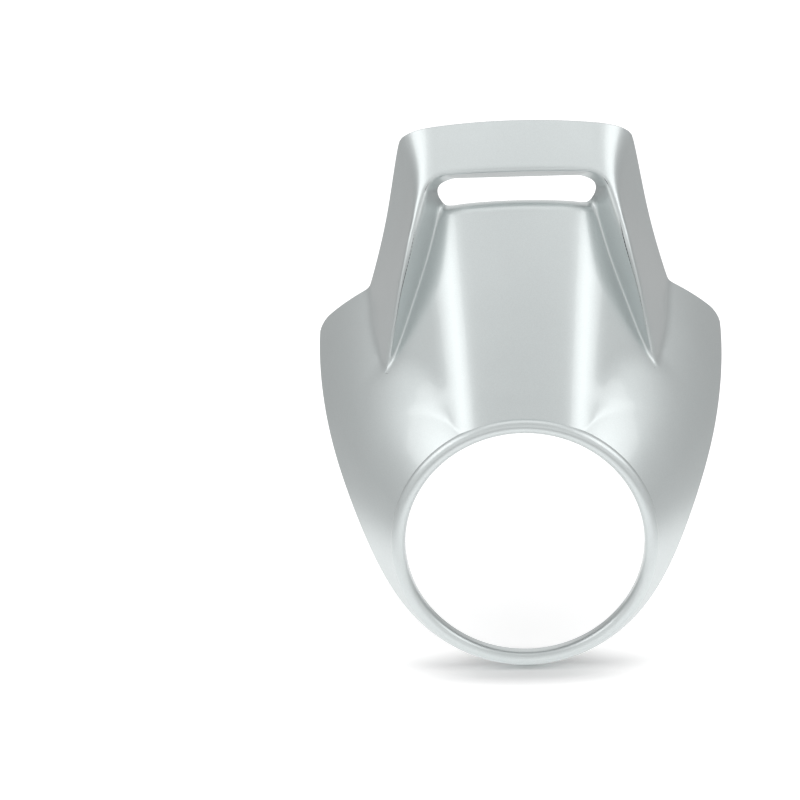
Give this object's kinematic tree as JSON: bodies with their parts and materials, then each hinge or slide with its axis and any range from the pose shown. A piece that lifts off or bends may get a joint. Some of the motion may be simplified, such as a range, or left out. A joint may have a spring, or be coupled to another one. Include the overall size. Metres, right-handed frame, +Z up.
{
  "type": "headlight cowl",
  "caption": "Motorcycle headlight cowl: a thin moulded shell with a round lamp opening, a flared nacelle, a raised hood, and an arch over a through air slot.",
  "frame": {"origin": "centre of the lamp opening, on the lamp's axis, where the straight wall of the opening starts behind the rolled lip", "axes": "+Y along the lamp's axis, to the rear; +Z up; +X to the right as seen from the front"},
  "size_m": [0.3384, 0.2223, 0.4109],
  "materials": {
    "silver_lacquer": "moulded ABS in silver metallic lacquer under a clear coat",
    "insert_brass": "turned brass"
  },
  "bodies": {
    "root": {"cowl_shell": "silver_lacquer", "hood_insert_left": "insert_brass", "hood_insert_right": "insert_brass", "side_insert_left": "insert_brass", "side_insert_right": "insert_brass"}
  },
  "joints": []
}
